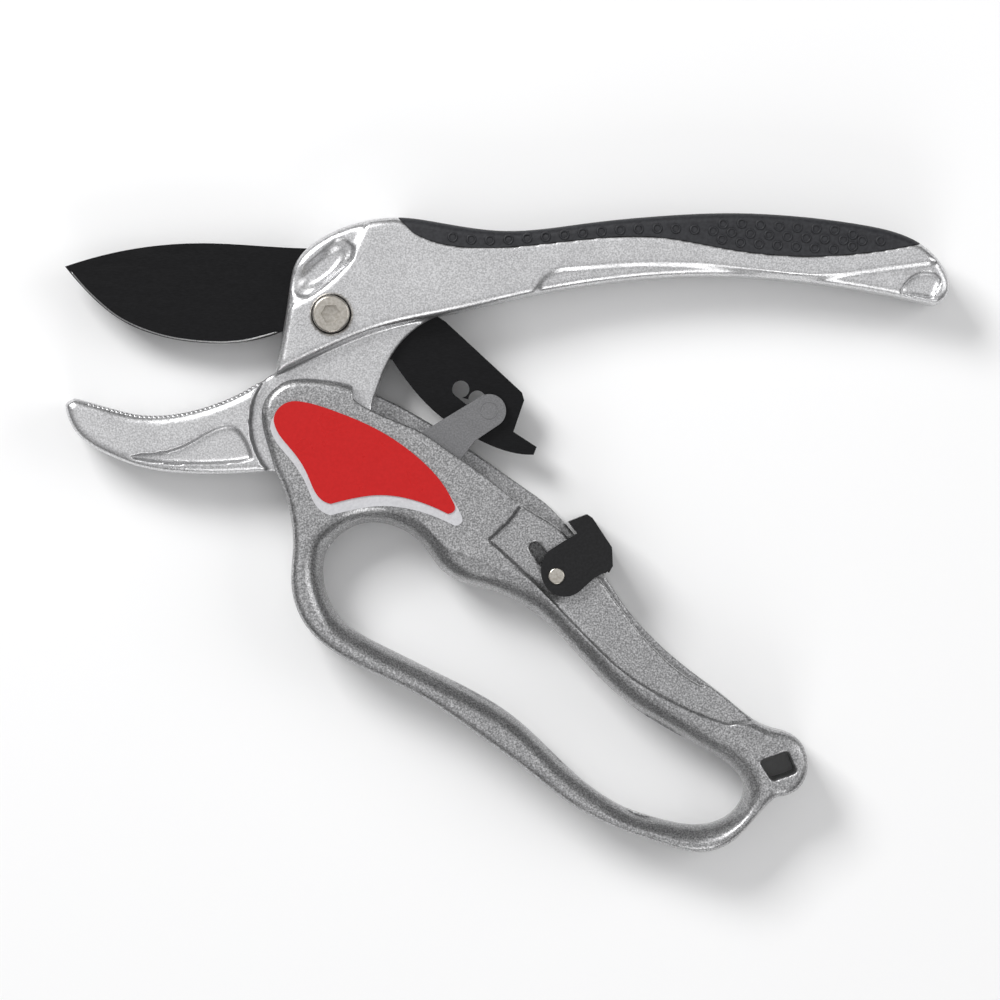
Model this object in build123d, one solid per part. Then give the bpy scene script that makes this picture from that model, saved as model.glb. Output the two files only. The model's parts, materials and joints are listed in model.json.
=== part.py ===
from build123d import *
import math
import os

os.makedirs("parts", exist_ok=True)

# A ratchet anvil pruner that lies on its side: the tool's plane is XY and its thickness is Z.
# All shapes are drawn about the blade pivot and the blade's mid-plane, and moved at the end
# so that the tool rests on Z = 0 with its box centred on the origin. Millimetres.

HALF_BODY = 8.8            # half thickness of both handles
HALF_JAW = 6.5             # half thickness of the anvil jaw
HALF_NECK = 4.0            # half thickness of the neck, which runs between the cheeks
HALF_CHANNEL = 4.3         # half width of the loop handle's channel
HALF_BLADE = 1.5
HALF_SLOT = 1.65
BODY_ROUND = 2.0           # rounding of the castings' long edges
PAST = HALF_BODY + 1.5      # height that cuts through the faces reach to

HANDLE_PIVOT = (-2.0, -25.0)
LINK_PIVOT = (20.0, -41.0)
PAWL = (36.4, -22.2)       # the link's pin in the tang's third notch
BLADE_CLOSES = 26.5        # degrees
ANVIL_GAP = 0.4

SCREW_R = 2.5              # M5 socket head cap screw and lock nut
SCREW_HEAD_R = 4.25
SCREW_HEAD_TALL = 5.0
SCREW_SUNK = 2.4
HEX_SOCKET = 4.0
NUT_FLATS = 8.0
NUT_TALL = 4.0
BUSH_R = 5.0
HANDLE_PIN_R = 2.5
LINK_PIN_R = 1.8
RATCHET_PIN_R = 1.95
RUNNING = 0.05             # radial clearance of every pin and bush
LINK_INNER = 1.8
LINK_OUTER = 3.9
LINK_END_R = 3.9

LOCK_RIVET = (51.9, -60.3)
LOCK_TRAVEL = 8.0
LOCK_WAY = (-0.6, 0.8)     # direction in which the lock slides to lock
LOCK_SLOT_HALF = 1.3
ARM_PANEL_DEEP = 1.5
LOCK_PLATE_LOW = HALF_BODY - ARM_PANEL_DEEP + 0.1
LOCK_PLATE_TOP = LOCK_PLATE_LOW + 2.8

LABEL_BORDER_TOP = 9.2
LABEL_FACE_TOP = 9.6
LABEL_BORDER_GROWS = 1.06  # the border plate is the face's outline, this much larger


def outline(start, *runs):
    """A face whose edge runs through the points: a run of one point is straight, others are curved."""
    pen = start
    edges = []
    for run in runs:
        points = [pen, *run]
        edges.append(Line(*points) if len(run) == 1 else Spline(*points))
        pen = run[-1]
    if pen != start:
        edges.append(Line(pen, start))
    return make_face(Curve() + edges)


def slab(face, low, high):
    """The face as a plate between two heights."""
    return Pos(0, 0, low) * extrude(face, amount=high - low, dir=(0, 0, 1))


def rounded(plate, radius):
    """The plate with the edges of its two flat sides rounded."""
    sides = plate.faces().sort_by(Axis.Z)
    return fillet(sides[0].edges() + sides[-1].edges(), radius)


def rod(centre, radius, low, high):
    return slab(Pos(*centre) * Circle(radius), low, high)


def turned(point, degrees):
    """The point turned about the blade pivot."""
    angle = math.radians(degrees)
    x = point[0] * math.cos(angle) - point[1] * math.sin(angle)
    y = point[0] * math.sin(angle) + point[1] * math.cos(angle)
    return (x, y)


def coil(centre, radius, wire_r, pitch, height, low):
    """A helical spring round the centre."""
    path = Helix(pitch=pitch, height=height, radius=radius)
    section = Plane(origin=path @ 0, z_dir=path % 0) * Circle(wire_r)
    return Pos(*centre, low) * sweep(section, path=path)


# ---- outlines -------------------------------------------------------------------------

CUTTING_EDGE = [(-11.5, -3.7), (-20.5, -6.1), (-29, -6.4), (-39.4, -4.9), (-48.9, -1.1),
                (-56, 4.6), (-61.9, 11.3)]

GRIP_LOWER = [(22.6, 17.2), (34.2, 15.4), (49.5, 16.4), (64.9, 17.9), (76.8, 17.7), (91, 15.2),
              (107, 13.5), (121, 14.0), (135.8, 16.4)]
GRIP_UPPER = [(24.5, 21.3), (39.9, 19.3), (59.2, 21.1), (76.8, 22.8), (91.9, 23.4), (107, 22.7),
              (122, 20.8), (134.5, 17.2)]

blade_face = outline(
    (-61.9, 11.3),
    [(-53.6, 13.8), (-44.1, 15.7), (-29, 16.7), (-15.7, 16), (-5.8, 15.5)],
    [(2, 13.2), (10, 9), (18, 4), (26.3, -1.5)],
    [(44, -17.9)],
    [(44.5, -19.7)],
    [(42, -27)],
    [(47.4, -30.5)],
    [(46.7, -32.3)],
    [(40.9, -31.6), (34.3, -29), (25.4, -23.7), (17, -14.8), (13.9, -10.3)],
    [(9, -9.4), (3, -11.6), (-4, -11.2), (-8.6, -7.8), (-11.5, -3.7)],
    CUTTING_EDGE[1:],
)

upper_face = outline(
    (-13.1, -13.8),
    [(-11.7, -6.3), (-10.4, 1), (-9.6, 7), (-8.2, 12.2), (-4, 16.6), (4, 20.6), (15.8, 22.4),
     *GRIP_UPPER, (140.6, 12), (142.7, 5.8), (139.7, 2.2)],
    [(131.1, 4.1), (107, 7.9), (86.9, 9), (68.6, 8), (46.4, 4.6), (27.7, 0.4), (9.9, -3.7), (1, -7.2), (-13.1, -13.8)],
)

grip_region = outline((14.6, 40), [(15.4, 22.5)], [(18.8, 19)], GRIP_LOWER, [(137, 18)], [(138, 40)])

grip_core_face = outline(
    (26, 14), [(26, 18.2)],
    [(39.9, 16.9), (59.2, 18.7), (76.8, 20.4), (91.9, 21), (107, 20.3), (124, 17.8)],
    [(124, 12)],
)

anvil_line = [(x, y - ANVIL_GAP) for x, y in (turned(p, BLADE_CLOSES) for p in CUTTING_EDGE[1:6])]

jaw_face = outline(
    (-59.5, -19.2),
    anvil_line[::-1],
    [(-14.3, -14.0)],
    [(-13.1, -13.6)],
    [(-8, 0)],
    [(22, 6)],
    [(24.5, -0.3)],
    [(18.7, -3.7), (14.3, -8.6), (11.6, -13.9), (9.4, -20.1)],
    [(8.6, -26), (5.4, -32.4), (-1, -35.6), (-13.6, -36.1)],
    [(-25.2, -36.8), (-34.7, -36.6), (-44.1, -35.2), (-51.2, -32.6), (-56.6, -29.6), (-61.7, -20.5)],
)

web_face = outline(
    (-49.8, -32.6),
    [(-41.8, -32.1), (-34.7, -30.5), (-29.9, -27.9), (-26.6, -26.2), (-23.3, -25.7),
     (-20.5, -28.1), (-18.4, -33.4)],
    [(-27, -34.4), (-38, -34.2), (-49.8, -32.6)],
)

loop_face = outline(
    (-13.1, -36),
    [(-9.5, -46.3), (-8.9, -53.4), (-9.3, -62.1), (-5.9, -71.9), (2.7, -79.2), (19.9, -87.8),
     (35.1, -98), (45.1, -105.3), (55.2, -113), (65.2, -118.2), (75.3, -121.8), (85.4, -124.1),
     (91, -122.6), (96.6, -117.6), (102.8, -111.2)],
    [(108.6, -108.4), (110.0, -104), (107, -97.4), (101.6, -95.6), (91.3, -88.6), (83.6, -82.8),
     (75.9, -76.3), (68.2, -67.8), (63.2, -60.3), (54.1, -48.3), (49.3, -43.4), (44.9, -40.2),
     (32.2, -31.2), (21.9, -24.5), (10.7, -18.6), (3, -15.8), (-4, -14.8), (-11.5, -15.8),
     (-15.8, -20.8), (-15.4, -28), (-13.1, -36)],
)

finger_face = outline(
    (-1.6, -55.2),
    [(0.6, -52), (5.2, -48.8), (11.3, -48.1), (16.9, -49.9), (21.2, -53.4), (25, -58.6),
     (29.5, -61.6), (37, -63.8), (44, -67), (49.1, -70.6), (57.2, -78.9), (67.8, -89.2),
     (82.8, -98.5), (91.4, -103.6), (95.4, -109.3), (92.9, -115), (85.4, -118.1), (75.3, -116.6),
     (67.8, -114.1), (55.2, -105.3), (41.6, -92.7), (25, -83.2), (11.3, -76.4), (1.9, -70.2),
     (-2, -61.6), (-1.6, -55.2)],
)

# The front face of the arm is let in between its inner ridge and the channel.
arm_panel_face = outline(
    (36, -52),
    [(48.4, -63.6), (57.4, -73), (64.4, -80), (75.9, -88), (91.3, -94.6)],
    [(98, -94)],
    [(92, -70)],
    [(50, -30)],
    [(43.6, -44)],
    [(40.6, -48)],
)

channel_face = outline(
    (-30, -8), [(-30, -37.8)], [(-6, -37.8)],
    [(1, -41.6), (8, -43.8), (14, -44.4), (20, -46.4)],
    [(27, -51), (38, -58), (48, -64), (56, -70.5), (64, -78), (76, -87), (90, -95)],
    [(96, -92)], [(100, -80)], [(60, -30)], [(30, -8)],
)

front_step_face = outline(
    (5, -10),
    [(5, -19.5)],
    [(14.1, -24.3), (20.6, -27.1), (27.1, -31.5), (33.1, -35.6), (39, -40.1), (45.8, -45.1),
     (50, -47.6), (55, -52)],
    [(63.4, -63)],
    [(68.5, -70), (76, -78.6), (86, -86)],
    [(92, -70)],
    [(60, -20)],
)

label_face_outline = outline(
    (-13.2, -24.7),
    [(-12.5, -22.2), (-9.7, -20.2), (-6.5, -20.2), (-0.1, -22), (7, -24.8), (14.1, -28.6),
     (19.4, -32.5), (24.4, -37.4), (28, -43.1)],
    [(28.4, -45.2), (26.9, -46)],
    [(21.2, -43.5), (15.9, -42.1), (10.6, -41.7), (5.2, -42.4), (-0.1, -43.7)],
    [(-2.6, -42.4), (-5.4, -37.1), (-9, -31.4), (-12.5, -26.8), (-13.2, -24.7)],
)

link_face = outline(
    (34.5, -18.8), [(20.9, -27.1)], [(17.5, -31), (16.1, -41)], [(23.9, -41)], [(31.9, -30.6)],
    [(33.1, -29.1)], [(38.3, -25.6)],
)

lock_plate_face = outline(
    (50, -54.6), [(53.6, -52.3), (58.6, -49.4)], [(60, -49.9)], [(62.1, -53.7), (64.7, -58)],
    [(63.3, -59.6)], [(59, -62.2), (55.5, -64.8), (52.2, -64.8), (49.1, -62.2), (48.4, -58.4),
                      (50, -54.6)],
)

lock_thumb_face = outline(
    (54.7, -47.8), [(59, -46.1)], [(60.2, -46.9)], [(64.7, -53.7)], [(64.9, -58)], [(64, -59.6)],
)

lock_catch_face = outline(
    (55.7, -51.1), [(58.9, -55.0)], [(60.3, -55.3)], [(57.3, -51.3)],
)

# ---- fixed body -----------------------------------------------------------------------

slot_faces = (
    outline((-80, 17.7), [(0, 17.7)], [(4, 13.6)], [(25, 13.2)], [(50, 6.4)], [(53, 2)],
            [(64, 2)], [(64, -12.6)], [(8, -12.6)], [(0, -13.3)], [(-13, -13.3)], [(-80, -13.3)])
    + Circle(13)
)


def make_frame_casting():
    body = rounded(slab(upper_face, -HALF_BODY, HALF_BODY), BODY_ROUND)
    body -= slab(grip_region, -PAST, PAST)
    jaw = rounded(slab(jaw_face, -HALF_JAW, HALF_JAW), BODY_ROUND)
    for side in (-1, 1):
        outer = side * (HALF_JAW + 1)
        inner = side * HALF_NECK
        jaw -= rod(HANDLE_PIVOT, 17.0, min(outer, inner), max(outer, inner))
        web_inner = side * (HALF_JAW - 2.2)
        jaw -= slab(web_face, min(outer, web_inner), max(outer, web_inner))
    neck_step = outline((-13.1, -14), [(-13.1, 40)], [(60, 40)], [(60, -60)], [(-13.1, -60)])
    for side in (-1, 1):
        outer = side * (HALF_JAW + 1)
        inner = side * HALF_NECK
        jaw -= slab(neck_step, min(outer, inner), max(outer, inner))
    casting = body + jaw + slab(grip_core_face, -5.6, 5.6)
    casting -= slab(slot_faces, -HALF_SLOT, HALF_SLOT)
    casting -= rod((0, 0), SCREW_R + RUNNING, -PAST, PAST)
    casting -= rod((0, 0), SCREW_HEAD_R + 0.25, HALF_BODY - SCREW_SUNK, PAST)
    casting -= slab(RegularPolygon(NUT_FLATS / 2 + 0.1, 6, major_radius=False),
                    -PAST, -HALF_BODY + NUT_TALL + 0.2)
    casting -= rod(HANDLE_PIVOT, HANDLE_PIN_R + RUNNING, -PAST, PAST)
    casting -= rod(HANDLE_PIVOT, 5.8, 0.4, HALF_NECK + 1)
    oval = Pos(-2, 10.7) * Rot(0, 0, 40.7) * SlotOverall(17.5, 6.5)
    casting -= slab(oval, HALF_BODY - 0.7, PAST)
    pocket = outline((131.4, 4.8), [(133.7, 8.4), (138.7, 9.6), (140.6, 7.8)], [(138.9, 3.8)])
    casting -= slab(pocket, HALF_BODY - 3, PAST)
    return casting


def make_handle_grip():
    handle = rounded(slab(upper_face, -HALF_BODY, HALF_BODY), BODY_ROUND)
    grip = handle & slab(grip_region, -PAST, PAST)
    return grip - slab(grip_core_face, -5.6, 5.6)


def make_pivot_screw():
    head_low = HALF_BODY - SCREW_SUNK
    head = rod((0, 0), SCREW_HEAD_R, head_low + 0.6, head_low + 0.6 + SCREW_HEAD_TALL)
    head = fillet(head.faces().sort_by(Axis.Z)[-1].edges(), 0.5)
    screw = head + rod((0, 0), SCREW_R, -HALF_BODY + 0.3, head_low + 0.6)
    socket = RegularPolygon(HEX_SOCKET / 2, 6, major_radius=False)
    return screw - slab(socket, head_low + 0.6 + SCREW_HEAD_TALL - 2.6, head_low + 8)


def make_pivot_washer():
    low = HALF_BODY - SCREW_SUNK
    return rod((0, 0), SCREW_HEAD_R, low, low + 0.6) - rod((0, 0), SCREW_R + RUNNING, -PAST, PAST)


def make_pivot_lock_nut():
    low = -HALF_BODY + 0.1
    nut = slab(RegularPolygon(NUT_FLATS / 2, 6, major_radius=False), low, low + NUT_TALL)
    return nut - rod((0, 0), SCREW_R + RUNNING, -PAST, PAST)


def make_pivot_bush():
    return (rod((0, 0), BUSH_R, -HALF_SLOT, HALF_SLOT)
            - rod((0, 0), SCREW_R + RUNNING, -PAST, PAST))


# ---- blade ----------------------------------------------------------------------------

def make_blade():
    plate = slab(blade_face, -HALF_BLADE, HALF_BLADE)
    plate -= rod((0, 0), BUSH_R + RUNNING, -PAST, PAST)
    notch_slot = rod((29.8, -17.1), 2.0, -PAST, PAST)
    notch_slot += rod((33.6, -19.4), 2.0, -PAST, PAST)
    notch_slot += rod(PAWL, 2.95, -PAST, PAST)
    notch_slot += slab(outline((28.6, -18.6), [(31, -20.6)], [(35, -23.4)], [(35.4, -20.6)]),
                       -PAST, PAST)
    return plate - notch_slot


# ---- loop handle ----------------------------------------------------------------------

def make_loop_handle():
    handle = rounded(slab(loop_face, -HALF_BODY, HALF_BODY), BODY_ROUND)
    handle -= slab(finger_face, -PAST, PAST)
    handle -= slab(channel_face, -HALF_CHANNEL, HALF_CHANNEL)
    handle -= slab(front_step_face, HALF_CHANNEL - 0.1, PAST)
    handle -= slab(arm_panel_face, HALF_BODY - ARM_PANEL_DEEP, PAST)
    handle -= rod(HANDLE_PIVOT, HANDLE_PIN_R + RUNNING, -PAST, PAST)
    handle -= rod(LINK_PIVOT, LINK_PIN_R + RUNNING, -PAST, PAST)
    end = (LOCK_RIVET[0] + LOCK_WAY[0] * LOCK_TRAVEL, LOCK_RIVET[1] + LOCK_WAY[1] * LOCK_TRAVEL)
    track = SlotCenterToCenter(LOCK_TRAVEL + 0.2, 2 * LOCK_SLOT_HALF)
    middle = ((LOCK_RIVET[0] + end[0]) / 2, (LOCK_RIVET[1] + end[1]) / 2)
    angle = math.degrees(math.atan2(LOCK_WAY[1], LOCK_WAY[0]))
    handle -= slab(Pos(*middle) * Rot(0, 0, angle) * track, HALF_CHANNEL - 0.1, PAST)
    lanyard = outline((98.6, -103), [(101.6, -107.6)], [(107.4, -105.6)], [(105.2, -100.6)])
    handle -= slab(lanyard, -PAST, PAST)
    return handle


def make_label_border():
    centre = label_face_outline.center()
    grown = Pos(centre) * scale(Pos(-centre) * label_face_outline, LABEL_BORDER_GROWS)
    return slab(grown, HALF_BODY, LABEL_BORDER_TOP)


def make_label_face():
    return slab(label_face_outline, LABEL_BORDER_TOP, LABEL_FACE_TOP)


def make_handle_pivot_pin():
    return rod(HANDLE_PIVOT, HANDLE_PIN_R, -HALF_BODY + 0.3, HALF_BODY - 0.3)


def make_link_pivot_pin():
    return rod(LINK_PIVOT, LINK_PIN_R, -HALF_BODY + 0.3, HALF_BODY - 0.3)


# ---- link -----------------------------------------------------------------------------

def make_ratchet_link():
    face = link_face + Pos(*PAWL) * Circle(LINK_END_R) + Pos(*LINK_PIVOT) * Circle(LINK_END_R)
    link = slab(face, LINK_INNER, LINK_OUTER) + slab(face, -LINK_OUTER, -LINK_INNER)
    link += rod(LINK_PIVOT, 2.7, -LINK_INNER, LINK_INNER)
    link -= rod(LINK_PIVOT, LINK_PIN_R + RUNNING, -PAST, PAST)
    return link - rod(PAWL, RATCHET_PIN_R + RUNNING, -PAST, PAST)


def make_ratchet_pin():
    return rod(PAWL, RATCHET_PIN_R, -LINK_OUTER, LINK_OUTER)


# ---- lock -----------------------------------------------------------------------------

def make_lock_slider():
    plate = slab(lock_plate_face, LOCK_PLATE_LOW, LOCK_PLATE_TOP)
    thumb = slab(lock_thumb_face, -8.2, LOCK_PLATE_TOP)
    tang_room = outline((50, -44), [(55.6, -51.2)], [(60.2, -44)])
    thumb -= slab(tang_room, -2.2, 2.2)
    slider = plate + thumb
    return slider - rod(LOCK_RIVET, 1.25 + RUNNING, -PAST, 2 * PAST)


def make_lock_rivet():
    shank = rod(LOCK_RIVET, 1.25, 2.4, LOCK_PLATE_TOP)
    head = rod(LOCK_RIVET, 1.9, LOCK_PLATE_TOP, LOCK_PLATE_TOP + 0.6)
    tail = rod(LOCK_RIVET, 1.8, 2.3, 3.2)
    return shank + fillet(head.faces().sort_by(Axis.Z)[-1].edges(), 0.35) + tail


def make_lock_washer():
    return rod(LOCK_RIVET, 2.6, 3.25, 4.15) - rod(LOCK_RIVET, 1.25 + RUNNING, 3, 5)


def make_lock_catch():
    return slab(lock_catch_face, -3.5, 3.5)


nodes = {
    "frame_casting": make_frame_casting(),
    "handle_grip": make_handle_grip(),
    "pivot_screw": make_pivot_screw(),
    "pivot_washer": make_pivot_washer(),
    "pivot_lock_nut": make_pivot_lock_nut(),
    "pivot_bush": make_pivot_bush(),
    "blade": make_blade(),
    "loop_handle": make_loop_handle(),
    "label_border": make_label_border(),
    "label_face": make_label_face(),
    "handle_pivot_pin": make_handle_pivot_pin(),
    "handle_spring": coil(HANDLE_PIVOT, 4.2, 0.45, 1.1, 2.2, 1.2),
    "link_pivot_pin": make_link_pivot_pin(),
    "link_spring": coil(LINK_PIVOT, 3.3, 0.32, 0.9, 1.8, -0.9),
    "ratchet_link": make_ratchet_link(),
    "ratchet_pin": make_ratchet_pin(),
    "lock_slider": make_lock_slider(),
    "lock_rivet": make_lock_rivet(),
    "lock_washer": make_lock_washer(),
    "lock_catch": make_lock_catch(),
}

box = Compound([shape for node in nodes.values() for shape in node.solids()]).bounding_box()
ORIGIN = ((box.min.X + box.max.X) / 2, (box.min.Y + box.max.Y) / 2, box.min.Z)
to_origin = Pos(-ORIGIN[0], -ORIGIN[1], -ORIGIN[2])

for name, shape in nodes.items():
    export_step(to_origin * shape.solid(), f"parts/{name}.step")
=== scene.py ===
import json
import math

import bmesh
import bpy
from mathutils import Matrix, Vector, kdtree


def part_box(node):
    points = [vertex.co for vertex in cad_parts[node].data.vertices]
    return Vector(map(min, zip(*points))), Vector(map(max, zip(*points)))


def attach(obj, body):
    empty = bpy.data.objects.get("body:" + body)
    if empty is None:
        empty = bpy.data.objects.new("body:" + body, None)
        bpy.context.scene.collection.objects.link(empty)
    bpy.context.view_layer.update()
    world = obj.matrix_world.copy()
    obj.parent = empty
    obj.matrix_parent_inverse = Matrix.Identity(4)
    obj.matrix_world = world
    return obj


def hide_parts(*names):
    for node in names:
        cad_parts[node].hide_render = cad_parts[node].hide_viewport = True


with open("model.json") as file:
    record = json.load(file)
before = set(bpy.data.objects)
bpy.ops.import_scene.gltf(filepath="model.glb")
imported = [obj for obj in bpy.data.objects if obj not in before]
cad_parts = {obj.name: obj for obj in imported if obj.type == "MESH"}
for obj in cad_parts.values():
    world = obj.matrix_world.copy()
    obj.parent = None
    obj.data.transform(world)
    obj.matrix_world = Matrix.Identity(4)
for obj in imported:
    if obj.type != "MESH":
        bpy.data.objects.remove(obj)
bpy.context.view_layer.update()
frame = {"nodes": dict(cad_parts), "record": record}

MM = 0.001

# ---- places, in millimetres from the blade pivot and the blade's mid-plane ---------------------

screw_low, screw_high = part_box("pivot_screw")
body_low, body_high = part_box("frame_casting")
PIVOT = Vector(((screw_low[0] + screw_high[0]) / 2, (screw_low[1] + screw_high[1]) / 2,
                (body_low[2] + body_high[2]) / 2))
HALF_BODY = (body_high[2] - body_low[2]) / 2 / MM
HALF_BLADE = 1.5
HALF_JAW = 6.5

CUTTING_EDGE = [(-12.5, -4.1), (-20.5, -6.1), (-29, -6.4), (-39.4, -4.9), (-48.9, -1.1),
                (-56, 4.6), (-61, 10.2)]
FINGER_HOLE = [(-1.6, -55.2), (0.6, -52), (5.2, -48.8), (11.3, -48.1), (16.9, -49.9),
               (21.2, -53.4), (25, -58.6), (29.5, -61.6), (37, -63.8), (44, -67), (49.1, -70.6),
               (57.2, -78.9), (67.8, -89.2), (82.8, -98.5), (91.4, -103.6), (95.4, -109.3),
               (92.9, -115), (85.4, -118.1), (75.3, -116.6), (67.8, -114.1), (55.2, -105.3),
               (41.6, -92.7), (25, -83.2), (11.3, -76.4), (1.9, -70.2), (-2, -61.6)]
GRIP_MIDDLE = [(28, 17.8), (34, 17.1), (40, 17.2), (49.5, 17.9), (62, 19.1), (76.8, 19.8),
               (92, 18.9), (107, 17.8), (118, 17.1), (127, 16.9)]
SIDE_STEP = [(46.4, 4.9), (48, 8.2), (51.9, 10.7), (57.2, 11.3), (71.4, 12.2), (86.9, 11.9),
             (102, 10.1), (109.5, 9.4), (117, 9.7), (127.1, 11.1), (139, 12.6)]
HEAD_STEP = [(-12, 0.4), (-9.8, 1), (-1.5, 5.5), (4.2, 11.2), (6.3, 15.5), (8.5, 20.3), (9, 23)]
ARM_RIDGE = [(22, -49.2), (27, -53.6), (39, -58.2), (48.4, -63.2), (57.4, -72), (64.4, -79.2),
             (75.9, -87.2), (83.6, -90.8), (91.3, -93.8), (99, -96.9), (106.5, -100.9)]
ANVIL_TOP = [(-56, -20.2), (-52.2, -21.2), (-43.3, -23.1), (-33.1, -22.3), (-23.1, -19),
             (-17, -15.6)]

CURVE_PARTS = 24        # straight parts between two given points of a smooth line
FINE_STEP = 0.4         # between a line's points, where distances are taken to it


def at(x, y, z=0.0):
    """A place in metres from one in millimetres about the pivot."""
    return PIVOT + Vector((x, y, z)) * MM


def smooth_line(points, step, closed=False):
    """Evenly spaced points, in millimetres, on a smooth curve through the given ones."""
    count = len(points)
    dense = []
    for i in range(count if closed else count - 1):
        if closed:
            p0, p1, p2, p3 = (points[(i + k - 1) % count] for k in range(4))
        else:
            p0, p1, p2, p3 = (points[min(max(i + k - 1, 0), count - 1)] for k in range(4))
        for j in range(CURVE_PARTS):
            t = j / CURVE_PARTS
            dense.append(tuple(
                0.5 * (2 * b + (c - a) * t + (2 * a - 5 * b + 4 * c - d) * t * t
                       + (3 * b - a - 3 * c + d) * t ** 3)
                for a, b, c, d in zip(p0, p1, p2, p3)))
    dense.append(points[0] if closed else points[-1])
    line = [dense[0]]
    left = step
    for a, b in zip(dense, dense[1:]):
        length = math.dist(a, b)
        while length > 0 and left <= length:
            t = left / length
            line.append((a[0] + (b[0] - a[0]) * t, a[1] + (b[1] - a[1]) * t))
            left += step
        left -= length
    return line


def normal_at(line, i):
    """The unit normal, to the left of the line's direction."""
    a = line[max(i - 1, 0)]
    b = line[min(i + 1, len(line) - 1)]
    length = math.dist(a, b) or 1.0
    return (-(b[1] - a[1]) / length, (b[0] - a[0]) / length)


def smooth_step(value):
    """0 below 0, 1 above 1, and a soft rise between them."""
    value = min(max(value, 0.0), 1.0)
    return value * value * (3 - 2 * value)


# ---- materials ---------------------------------------------------------------------------------

FLAKE_SCALE = 2600      # noise scales, per metre of object
PEEL_SCALE = 90
PAINT_GRAIN_SCALE = 1500
PAINT_GRAIN_DEPTH = 0.00006
PATCH_SHARE = 8         # how much coarser a surface's dull patches are than its grain


def grey(level):
    """A grey with a trace of blue."""
    return (level, level, level * 1.01)


def new_material(name, colour, metallic, roughness, coat=0.0, specular=0.5):
    material = bpy.data.materials.new(name)
    material.use_nodes = True
    shader = material.node_tree.nodes["Principled BSDF"]
    shader.inputs["Base Color"].default_value = (*colour, 1)
    shader.inputs["Metallic"].default_value = metallic
    shader.inputs["Roughness"].default_value = roughness
    shader.inputs["Coat Weight"].default_value = coat
    shader.inputs["Specular IOR Level"].default_value = specular
    return material, shader


def add_node(material, kind, **values):
    node = material.node_tree.nodes.new(kind)
    for name, value in values.items():
        node.inputs[name].default_value = value
    return node


def object_coordinates(material, stretch=(1, 1, 1)):
    place = add_node(material, "ShaderNodeTexCoord")
    mapping = add_node(material, "ShaderNodeMapping", Scale=stretch)
    material.node_tree.links.new(place.outputs["Object"], mapping.inputs["Vector"])
    return mapping.outputs["Vector"]


def noise(material, where, scale, detail=3.0):
    node = add_node(material, "ShaderNodeTexNoise", Scale=scale, Detail=detail)
    material.node_tree.links.new(where, node.inputs["Vector"])
    return node.outputs["Fac"]


def ramp(owner, value, stops):
    """The colour that a value picks between stops, in a material or a world."""
    node = owner.node_tree.nodes.new("ShaderNodeValToRGB")
    node.color_ramp.elements[0].position = stops[0][0]
    node.color_ramp.elements[0].color = (*stops[0][1], 1)
    node.color_ramp.elements[1].position = stops[-1][0]
    node.color_ramp.elements[1].color = (*stops[-1][1], 1)
    for position, colour in stops[1:-1]:
        node.color_ramp.elements.new(position).color = (*colour, 1)
    owner.node_tree.links.new(value, node.inputs["Fac"])
    return node.outputs["Color"]


def colour_by(material, shader, value, stops):
    colour = ramp(material, value, stops)
    material.node_tree.links.new(colour, shader.inputs["Base Color"])


def patchy_roughness(material, shader, where, scale, low, high):
    """Roughness that runs between two values in soft patches."""
    patches = noise(material, where, scale)
    rough = ramp(material, patches, [(0.3, grey(low)), (0.7, grey(high))])
    material.node_tree.links.new(rough, shader.inputs["Roughness"])


def bump(material, shader, value, distance, strength):
    node = add_node(material, "ShaderNodeBump", Strength=strength, Distance=distance)
    material.node_tree.links.new(value, node.inputs["Height"])
    material.node_tree.links.new(node.outputs["Normal"], shader.inputs["Normal"])


def casting_paint(name, dark, middle, bright, roughness):
    """Metallic paint: fine flakes, and a faint orange peel over the casting."""
    material, shader = new_material(name, grey(middle), metallic=0.85, roughness=roughness,
                                    coat=0.25)
    where = object_coordinates(material)
    flakes = noise(material, where, FLAKE_SCALE, detail=2)
    colour_by(material, shader, flakes,
              [(0.32, grey(dark)), (0.5, grey(middle)), (0.68, grey(bright))])
    patchy_roughness(material, shader, where, PEEL_SCALE, roughness - 0.06, roughness + 0.1)
    grain = noise(material, where, PAINT_GRAIN_SCALE, detail=4)
    bump(material, shader, grain, PAINT_GRAIN_DEPTH, strength=0.7)
    return material


def varied(name, low, high, metallic, roughness, scale, depth, stretch=(1, 1, 1), specular=0.5):
    """A surface whose colour runs between two tones, with a fine grain."""
    material, shader = new_material(name, low, metallic, roughness, specular=specular)
    where = object_coordinates(material, stretch)
    grain = noise(material, where, scale, detail=4)
    colour_by(material, shader, grain, [(0.35, low), (0.65, high)])
    patchy_roughness(material, shader, where, scale / PATCH_SHARE, roughness - 0.05,
                     roughness + 0.08)
    bump(material, shader, grain, depth, strength=0.6)
    return material


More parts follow.
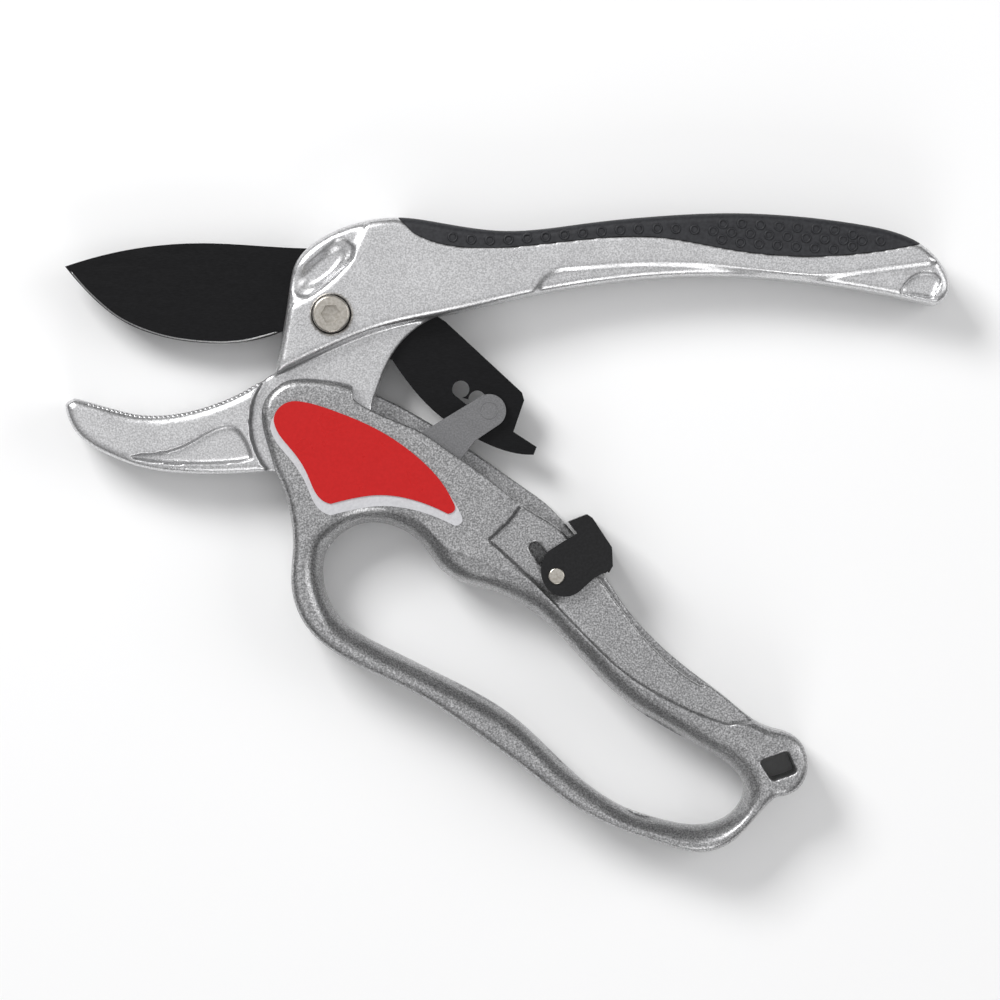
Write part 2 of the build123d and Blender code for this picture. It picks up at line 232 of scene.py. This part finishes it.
MATERIALS = {
    "silver_casting": casting_paint(
        "silver_casting", dark=0.46, middle=0.62, bright=0.8, roughness=0.3),
    "grey_casting": casting_paint(
        "grey_casting", dark=0.2, middle=0.36, bright=0.62, roughness=0.34),
    "grip_rubber": varied(
        "grip_rubber", low=(0.014, 0.014, 0.017), high=(0.026, 0.027, 0.031), metallic=0,
        roughness=0.48, scale=1400, depth=0.00005, specular=0.4),
    "blade_coating": varied(
        "blade_coating", low=(0.003, 0.003, 0.0035), high=(0.007, 0.007, 0.008), metallic=0,
        roughness=0.34, scale=900, depth=0.00003, stretch=(1, 6, 1), specular=0.16),
    "dark_steel": varied(
        "dark_steel", low=(0.2, 0.2, 0.205), high=(0.27, 0.27, 0.275), metallic=0.95,
        roughness=0.33, scale=2600, depth=0.00002),
    "bright_steel": varied(
        "bright_steel", low=(0.45, 0.42, 0.37), high=(0.6, 0.57, 0.52), metallic=1.0,
        roughness=0.27, scale=1600, depth=0.00002),
    "black_plastic": varied(
        "black_plastic", low=(0.005, 0.005, 0.0055), high=(0.01, 0.01, 0.011), metallic=0,
        roughness=0.36, scale=1800, depth=0.00004, specular=0.3),
    "label_red": varied(
        "label_red", low=(0.5, 0.006, 0.006), high=(0.54, 0.008, 0.008), metallic=0,
        roughness=0.3, scale=1500, depth=0.00001, specular=0.3),
    "label_silver": varied(
        "label_silver", low=(0.6, 0.6, 0.62), high=(0.68, 0.68, 0.7), metallic=0.4,
        roughness=0.34, scale=1800, depth=0.00002),
    "ground_edge": varied(
        "ground_edge", low=(0.3, 0.3, 0.3), high=(0.45, 0.45, 0.45), metallic=1.0,
        roughness=0.3, scale=900, depth=0.00002, stretch=(6, 1, 1)),
}

for part in frame["record"]["subparts"]:
    solid = frame["nodes"][part["node"]]
    material = MATERIALS[part["material_slot"]]
    if not solid.material_slots:
        solid.data.materials.append(material)
    for place in solid.material_slots:
        place.material = material

# ---- making pieces -----------------------------------------------------------------------------


def piece_from(name, build, material, body):
    """A mesh object filled by build(bm), shaded smooth, that rides on the body."""
    mesh = bpy.data.meshes.new(name)
    bm = bmesh.new()
    build(bm)
    bmesh.ops.recalc_face_normals(bm, faces=bm.faces)
    bm.to_mesh(mesh)
    bm.free()
    mesh.shade_smooth()
    mesh.materials.append(MATERIALS[material])
    piece = bpy.data.objects.new(name, mesh)
    bpy.context.scene.collection.objects.link(piece)
    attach(piece, body)
    return piece


def skin(bm, loops, closed=False):
    """Faces between closed loops of points, and from the last to the first where closed."""
    following = loops[1:] + loops[:1] if closed else loops[1:]
    for one, two in zip(loops, following):
        for j in range(len(one)):
            k = (j + 1) % len(one)
            bm.faces.new((one[j], two[j], two[k], one[k]))


# ---- castings: the CAD shape with soft edges, and steps and ridges in millimetres --------------

VOXEL = 0.00045         # metres
SOFTENINGS = 3
FACE_DEEP = 2.2         # how far under a casting's face its relief reaches

CROWN = 4.8             # the finger hole's wall slopes over this, seen from the front
CROWN_KEEPS = 0.12      # share of the thickness left at the hole's edge
RIDGE_TALL = 0.45
RIDGE_WIDE = 0.75

STEP_WIDE = 1.4
SIDE_STEP_DEEP = 0.9
SIDE_STEP_STARTS = 46   # along x
SIDE_STEP_REACH = 14    # from the step's line
HEAD_STEP_DEEP = 0.72
HEAD_STEP_ENDS = 12     # along x
HEAD_STEP_LOW = 0.5     # along y
OVAL_CENTRE = (-2, 10.7)
OVAL_LONG_R = 8.0
OVAL_SHORT_R = 2.9
OVAL_TURN = math.radians(40.7)
OVAL_DEEP = 1.1
OVAL_STEEP = 1.3


def soft_copy(node, material, body, shape):
    """A fine, softened copy of a CAD node that replaces it, with its relief from shape(bm)."""
    source = frame["nodes"][node]
    piece = bpy.data.objects.new(node + "_shell", source.data.copy())
    bpy.context.scene.collection.objects.link(piece)
    remesh = piece.modifiers.new("remesh", "REMESH")
    remesh.mode = "VOXEL"
    remesh.voxel_size = VOXEL
    bpy.context.view_layer.update()
    ready = piece.evaluated_get(bpy.context.evaluated_depsgraph_get())
    mesh = bpy.data.meshes.new_from_object(ready)
    piece.modifiers.clear()
    bm = bmesh.new()
    bm.from_mesh(mesh)
    shape(bm)
    for _ in range(SOFTENINGS):
        bmesh.ops.smooth_vert(bm, verts=bm.verts, factor=0.5, use_axis_x=True, use_axis_y=True,
                              use_axis_z=True)
    bm.to_mesh(mesh)
    bm.free()
    mesh.shade_smooth()
    mesh.materials.clear()
    mesh.materials.append(MATERIALS[material])
    piece.data = mesh
    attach(piece, body)
    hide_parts(node)
    return piece


def nearest_on(points, closed=False):
    """A function that gives a place's distance from a smooth line, and the signed distance."""
    line = smooth_line(points, FINE_STEP, closed)
    tree = kdtree.KDTree(len(line))
    for i, (x, y) in enumerate(line):
        tree.insert((x, y, 0), i)
    tree.balance()

    def measure(place):
        near, i, away = tree.find((place.x, place.y, 0))
        nx, ny = normal_at(line, i)
        return away, (place.x - near.x) * nx + (place.y - near.y) * ny

    return measure


def sink(vert, place, lower):
    """Move a point of either side by a depth in millimetres, towards the mid-plane."""
    side = math.copysign(1, place.z)
    vert.co.z = PIVOT.z + (place.z - side * lower) * MM


def shape_loop_handle(bm):
    """Crown the walls of the finger hole, and raise the ridge along the arm's front."""
    from_hole = nearest_on(FINGER_HOLE, closed=True)
    from_ridge = nearest_on(ARM_RIDGE)
    for vert in bm.verts:
        place = (vert.co - PIVOT) / MM
        lower = 0.0
        away = from_hole(place)[0]
        if away < CROWN:
            rise = math.sqrt(max(0.0, 1 - (1 - away / CROWN) ** 2))
            keep = CROWN_KEEPS + (1 - CROWN_KEEPS) * rise
            lower += abs(place.z) * (1 - keep)
        if place.z > HALF_BODY - FACE_DEEP:
            lower -= RIDGE_TALL * math.exp(-(from_ridge(place)[0] / RIDGE_WIDE) ** 2)
        if lower:
            sink(vert, place, lower)


def oval_depth(place):
    """How deep the head's oval is at a place."""
    x, y = place.x - OVAL_CENTRE[0], place.y - OVAL_CENTRE[1]
    along = x * math.cos(OVAL_TURN) + y * math.sin(OVAL_TURN)
    across = y * math.cos(OVAL_TURN) - x * math.sin(OVAL_TURN)
    inside = 1 - (along / OVAL_LONG_R) ** 2 - (across / OVAL_SHORT_R) ** 2
    return OVAL_DEEP * smooth_step(inside * OVAL_STEEP)


def shape_frame(bm):
    """Sink the band along the handle's lower edge, the head's corner and its oval."""
    from_side = nearest_on(SIDE_STEP)
    from_head = nearest_on(HEAD_STEP)
    for vert in bm.verts:
        place = (vert.co - PIVOT) / MM
        if abs(place.z) < HALF_BODY - FACE_DEEP:
            continue
        lower = 0.0
        if place.x > SIDE_STEP_STARTS:
            away, above = from_side(place)
            if away < SIDE_STEP_REACH:
                lower = SIDE_STEP_DEEP * smooth_step(-above / STEP_WIDE)
        elif place.x < HEAD_STEP_ENDS and place.y > HEAD_STEP_LOW:
            above = from_head(place)[1]
            lower = HEAD_STEP_DEEP * smooth_step(above / STEP_WIDE) + oval_depth(place)
        if lower:
            sink(vert, place, lower)


soft_copy("loop_handle", "grey_casting", "loop_handle", shape_loop_handle)
soft_copy("frame_casting", "silver_casting", "frame", shape_frame)

# ---- raised rings on the grip's front ----------------------------------------------------------

RING_R = 0.95
RING_WIRE = 0.28
RING_SIDES = 20
WIRE_SIDES = 8
RING_PITCH = 4.3
ROW_SPREAD = 2.2
LEAST_SPREAD = 1.0
WIDE_STARTS, WIDENS_OVER = 80, 14       # along x, where the grip has room for three rows
WIDE_ENDS, NARROWS_OVER = 126, 10


def add_ring(bm, x, y, z):
    loops = []
    for i in range(RING_SIDES):
        a = 2 * math.pi * i / RING_SIDES
        loop = []
        for j in range(WIRE_SIDES):
            b = 2 * math.pi * j / WIRE_SIDES
            r = RING_R + RING_WIRE * math.cos(b)
            loop.append(bm.verts.new(at(x + r * math.cos(a), y + r * math.sin(a),
                                        z + RING_WIRE * math.sin(b))))
        loops.append(loop)
    skin(bm, loops, closed=True)


def grip_rings(bm):
    """One row of rings where the grip is narrow, and three staggered rows where it is wide."""
    line = smooth_line(GRIP_MIDDLE, RING_PITCH / 2)
    for i, (x, y) in enumerate(line):
        nx, ny = normal_at(line, i)
        spread = (ROW_SPREAD * smooth_step((x - WIDE_STARTS) / WIDENS_OVER)
                  * smooth_step((WIDE_ENDS - x) / NARROWS_OVER))
        if i % 2 == 0:
            offsets = (0,)
        elif spread > LEAST_SPREAD:
            offsets = (-spread, spread)
        else:
            offsets = ()
        for off in offsets:
            add_ring(bm, x + nx * off, y + ny * off, HALF_BODY)


piece_from("grip_rings", grip_rings, "grip_rubber", "frame")

# ---- bead rows along the anvil's two top edges -------------------------------------------------

BEAD_R = 0.62
BEAD_PITCH = 1.1
BEAD_SUNK = 0.75        # a bead's centre is this far under the anvil's top
BEAD_INSET = 1.1        # and this far in from its side


def anvil_beads(bm):
    for x, y in smooth_line(ANVIL_TOP, BEAD_PITCH):
        for side in (-1, 1):
            made = bmesh.ops.create_icosphere(bm, subdivisions=2, radius=BEAD_R * MM)
            for vert in made["verts"]:
                vert.co += at(x, y - BEAD_SUNK, side * (HALF_JAW - BEAD_INSET))


piece_from("anvil_beads", anvil_beads, "silver_casting", "frame")

# ---- the ground line along the cutting edge, on both sides of the blade ------------------------

EDGE_STEP = 1.0
EDGE_STARTS = -0.1      # across the line, where the blade's body is on the negative side
EDGE_ENDS = -0.5
EDGE_SUNK = 0.1
EDGE_PROUD = 0.05


def ground_edge(bm):
    line = smooth_line(CUTTING_EDGE, EDGE_STEP)
    for side in (-1, 1):
        low = side * (HALF_BLADE - EDGE_SUNK)
        high = side * (HALF_BLADE + EDGE_PROUD)
        corners = ((EDGE_STARTS, low), (EDGE_STARTS, high), (EDGE_ENDS, high), (EDGE_ENDS, low))
        loops = []
        for i, (x, y) in enumerate(line):
            nx, ny = normal_at(line, i)
            loops.append([bm.verts.new(at(x + nx * off, y + ny * off, z)) for off, z in corners])
        skin(bm, loops)
        bm.faces.new(loops[0])
        bm.faces.new(loops[-1])


piece_from("ground_edge", ground_edge, "ground_edge", "blade")

# ---- floor, sky, lights and camera, in metres --------------------------------------------------

FLOOR_SIZE = 6.0
FLOOR_LOWER = 0.0002
SKY_STRENGTH = 0.78
VIEW_CENTRE = (38.9, -42.8)             # millimetres from the pivot
VIEW_WIDTH = 0.232
CAMERA_HIGH = 1.3
SENSOR = 36

bpy.ops.mesh.primitive_plane_add(size=FLOOR_SIZE, location=(0, 0, -FLOOR_LOWER))
floor = bpy.context.object
floor.name = "floor"
paper, _ = new_material("floor_paper", (0.93, 0.93, 0.93), metallic=0, roughness=0.85)
floor.data.materials.append(paper)

# The sky is bright overhead and darker towards the horizon, as in a light tent.
SKY = [(0.0, grey(0.05)), (0.5, grey(0.22)), (0.82, grey(0.7)), (1.0, grey(1.0))]
world = bpy.data.worlds.new("studio")
world.use_nodes = True
height = world.node_tree.nodes.new("ShaderNodeSeparateXYZ")
direction = world.node_tree.nodes.new("ShaderNodeTexCoord")
world.node_tree.links.new(direction.outputs["Generated"], height.inputs["Vector"])
sky = ramp(world, height.outputs["Z"], SKY)
background = world.node_tree.nodes["Background"]
world.node_tree.links.new(sky, background.inputs["Color"])
background.inputs["Strength"].default_value = SKY_STRENGTH
bpy.context.scene.world = world
bpy.context.scene.view_settings.view_transform = "Standard"


def soft_light(name, place, size, watts):
    """An area light that faces the origin."""
    light = bpy.data.lights.new(name, "AREA")
    light.size = size
    light.energy = watts
    lamp = bpy.data.objects.new(name, light)
    lamp.location = place
    lamp.rotation_euler = (-Vector(place)).to_track_quat("-Z", "Y").to_euler()
    bpy.context.scene.collection.objects.link(lamp)


soft_light("key", place=(-0.6, 0.7, 0.9), size=0.5, watts=11)
soft_light("fill", place=(0.9, 0.2, 0.7), size=0.7, watts=3)
soft_light("low", place=(0.1, -0.9, 0.5), size=0.5, watts=2)

camera_data = bpy.data.cameras.new("camera")
camera_data.sensor_width = SENSOR
camera_data.lens = SENSOR * CAMERA_HIGH / VIEW_WIDTH
camera = bpy.data.objects.new("camera", camera_data)
camera.location = at(*VIEW_CENTRE) + Vector((0, 0, CAMERA_HIGH))
bpy.context.scene.collection.objects.link(camera)
bpy.context.scene.camera = camera
